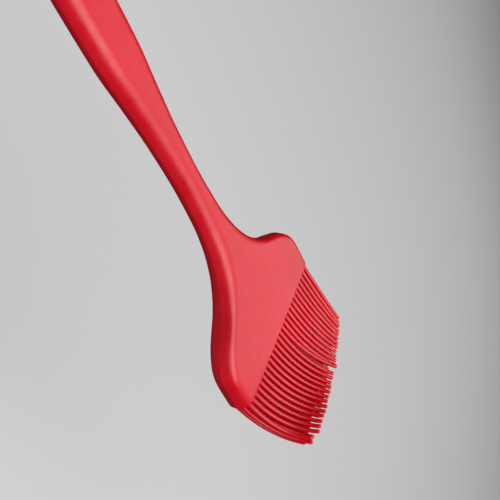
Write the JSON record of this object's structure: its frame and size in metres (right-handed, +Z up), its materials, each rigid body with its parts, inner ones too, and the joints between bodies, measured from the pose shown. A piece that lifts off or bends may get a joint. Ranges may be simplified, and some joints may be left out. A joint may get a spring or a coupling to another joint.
{
  "type": "pastry brush",
  "caption": "One-piece silicone pastry brush: fishtail head with rows of round bristles on a slim handle with a hanging hole; the bristles flex in short combs.",
  "frame": {"origin": "bottom centre of the bounding box, on the surface that the brush lies on", "axes": "+Y along the brush towards the end of the handle, +X across the head, +Z up, out of the front face"},
  "size_m": [0.062, 0.2179, 0.0226],
  "materials": {
    "silicone": "satin moulded silicone, opaque red",
    "core_nylon": "moulded nylon, hidden inside"
  },
  "bodies": {
    "handle": {"silicone_body": "silicone", "stiffener_core": "core_nylon"},
    "bristles_front_1": {"bristles_front_1": "silicone"},
    "bristles_middle_1": {"bristles_middle_1": "silicone"},
    "bristles_back_1": {"bristles_back_1": "silicone"},
    "bristles_front_2": {"bristles_front_2": "silicone"},
    "bristles_middle_2": {"bristles_middle_2": "silicone"},
    "bristles_back_2": {"bristles_back_2": "silicone"},
    "bristles_front_3": {"bristles_front_3": "silicone"},
    "bristles_middle_3": {"bristles_middle_3": "silicone"},
    "bristles_back_3": {"bristles_back_3": "silicone"},
    "bristles_front_4": {"bristles_front_4": "silicone"},
    "bristles_middle_4": {"bristles_middle_4": "silicone"},
    "bristles_back_4": {"bristles_back_4": "silicone"},
    "bristles_front_5": {"bristles_front_5": "silicone"},
    "bristles_middle_5": {"bristles_middle_5": "silicone"},
    "bristles_back_5": {"bristles_back_5": "silicone"},
    "bristles_front_6": {"bristles_front_6": "silicone"},
    "bristles_middle_6": {"bristles_middle_6": "silicone"},
    "bristles_back_6": {"bristles_back_6": "silicone"},
    "bristles_front_7": {"bristles_front_7": "silicone"},
    "bristles_middle_7": {"bristles_middle_7": "silicone"},
    "bristles_back_7": {"bristles_back_7": "silicone"}
  },
  "joints": [
    {"name": "flex_front_1", "type": "hinge", "parent": "handle", "child": "bristles_front_1", "pos_m": [0, -0.08111, 0.0067], "axis": [-1, 0, 0], "range_deg": [-25, 20], "stiffness_Nm_per_rad": 0.004},
    {"name": "flex_middle_1", "type": "hinge", "parent": "handle", "child": "bristles_middle_1", "pos_m": [-0.00045, -0.08111, 0.0042], "axis": [-1, 0, 0], "range_deg": [-25, 20], "stiffness_Nm_per_rad": 0.004},
    {"name": "flex_back_1", "type": "hinge", "parent": "handle", "child": "bristles_back_1", "pos_m": [0, -0.08111, 0.0017], "axis": [-1, 0, 0], "range_deg": [-25, 20], "stiffness_Nm_per_rad": 0.004},
    {"name": "flex_front_2", "type": "hinge", "parent": "handle", "child": "bristles_front_2", "pos_m": [0, -0.08111, 0.0067], "axis": [-1, 0, 0], "range_deg": [-25, 23], "stiffness_Nm_per_rad": 0.004},
    {"name": "flex_middle_2", "type": "hinge", "parent": "handle", "child": "bristles_middle_2", "pos_m": [-0.00045, -0.08111, 0.0042], "axis": [-1, 0, 0], "range_deg": [-25, 23], "stiffness_Nm_per_rad": 0.004},
    {"name": "flex_back_2", "type": "hinge", "parent": "handle", "child": "bristles_back_2", "pos_m": [0, -0.08111, 0.0017], "axis": [-1, 0, 0], "range_deg": [-25, 23], "stiffness_Nm_per_rad": 0.004},
    {"name": "flex_front_3", "type": "hinge", "parent": "handle", "child": "bristles_front_3", "pos_m": [0, -0.08111, 0.0067], "axis": [-1, 0, 0], "range_deg": [-25, 25], "stiffness_Nm_per_rad": 0.004},
    {"name": "flex_middle_3", "type": "hinge", "parent": "handle", "child": "bristles_middle_3", "pos_m": [-0.00045, -0.08111, 0.0042], "axis": [-1, 0, 0], "range_deg": [-25, 25], "stiffness_Nm_per_rad": 0.004},
    {"name": "flex_back_3", "type": "hinge", "parent": "handle", "child": "bristles_back_3", "pos_m": [0, -0.08111, 0.0017], "axis": [-1, 0, 0], "range_deg": [-25, 25], "stiffness_Nm_per_rad": 0.004},
    {"name": "flex_front_4", "type": "hinge", "parent": "handle", "child": "bristles_front_4", "pos_m": [0, -0.08111, 0.0067], "axis": [-1, 0, 0], "range_deg": [-25, 25], "stiffness_Nm_per_rad": 0.004},
    {"name": "flex_middle_4", "type": "hinge", "parent": "handle", "child": "bristles_middle_4", "pos_m": [-0.00045, -0.08111, 0.0042], "axis": [-1, 0, 0], "range_deg": [-25, 25], "stiffness_Nm_per_rad": 0.004},
    {"name": "flex_back_4", "type": "hinge", "parent": "handle", "child": "bristles_back_4", "pos_m": [0, -0.08111, 0.0017], "axis": [-1, 0, 0], "range_deg": [-25, 25], "stiffness_Nm_per_rad": 0.004},
    {"name": "flex_front_5", "type": "hinge", "parent": "handle", "child": "bristles_front_5", "pos_m": [0, -0.08111, 0.0067], "axis": [-1, 0, 0], "range_deg": [-25, 25], "stiffness_Nm_per_rad": 0.004},
    {"name": "flex_middle_5", "type": "hinge", "parent": "handle", "child": "bristles_middle_5", "pos_m": [-0.00045, -0.08111, 0.0042], "axis": [-1, 0, 0], "range_deg": [-25, 25], "stiffness_Nm_per_rad": 0.004},
    {"name": "flex_back_5", "type": "hinge", "parent": "handle", "child": "bristles_back_5", "pos_m": [0, -0.08111, 0.0017], "axis": [-1, 0, 0], "range_deg": [-25, 25], "stiffness_Nm_per_rad": 0.004},
    {"name": "flex_front_6", "type": "hinge", "parent": "handle", "child": "bristles_front_6", "pos_m": [0, -0.08111, 0.0067], "axis": [-1, 0, 0], "range_deg": [-25, 25], "stiffness_Nm_per_rad": 0.004},
    {"name": "flex_middle_6", "type": "hinge", "parent": "handle", "child": "bristles_middle_6", "pos_m": [-0.00045, -0.08111, 0.0042], "axis": [-1, 0, 0], "range_deg": [-25, 25], "stiffness_Nm_per_rad": 0.004},
    {"name": "flex_back_6", "type": "hinge", "parent": "handle", "child": "bristles_back_6", "pos_m": [0, -0.08111, 0.0017], "axis": [-1, 0, 0], "range_deg": [-25, 25], "stiffness_Nm_per_rad": 0.004},
    {"name": "flex_front_7", "type": "hinge", "parent": "handle", "child": "bristles_front_7", "pos_m": [0, -0.08111, 0.0067], "axis": [-1, 0, 0], "range_deg": [-25, 25], "stiffness_Nm_per_rad": 0.004},
    {"name": "flex_middle_7", "type": "hinge", "parent": "handle", "child": "bristles_middle_7", "pos_m": [-0.00045, -0.08111, 0.0042], "axis": [-1, 0, 0], "range_deg": [-25, 25], "stiffness_Nm_per_rad": 0.004},
    {"name": "flex_back_7", "type": "hinge", "parent": "handle", "child": "bristles_back_7", "pos_m": [0, -0.08111, 0.0017], "axis": [-1, 0, 0], "range_deg": [-25, 25], "stiffness_Nm_per_rad": 0.004}
  ],
  "couplings": [
    {"joint": "flex_middle_1", "follows": "flex_front_1", "ratio": 1},
    {"joint": "flex_back_1", "follows": "flex_front_1", "ratio": 1},
    {"joint": "flex_middle_2", "follows": "flex_front_2", "ratio": 1},
    {"joint": "flex_back_2", "follows": "flex_front_2", "ratio": 1},
    {"joint": "flex_middle_3", "follows": "flex_front_3", "ratio": 1},
    {"joint": "flex_back_3", "follows": "flex_front_3", "ratio": 1},
    {"joint": "flex_middle_4", "follows": "flex_front_4", "ratio": 1},
    {"joint": "flex_back_4", "follows": "flex_front_4", "ratio": 1},
    {"joint": "flex_middle_5", "follows": "flex_front_5", "ratio": 1},
    {"joint": "flex_back_5", "follows": "flex_front_5", "ratio": 1},
    {"joint": "flex_middle_6", "follows": "flex_front_6", "ratio": 1},
    {"joint": "flex_back_6", "follows": "flex_front_6", "ratio": 1},
    {"joint": "flex_middle_7", "follows": "flex_front_7", "ratio": 1},
    {"joint": "flex_back_7", "follows": "flex_front_7", "ratio": 1}
  ]
}
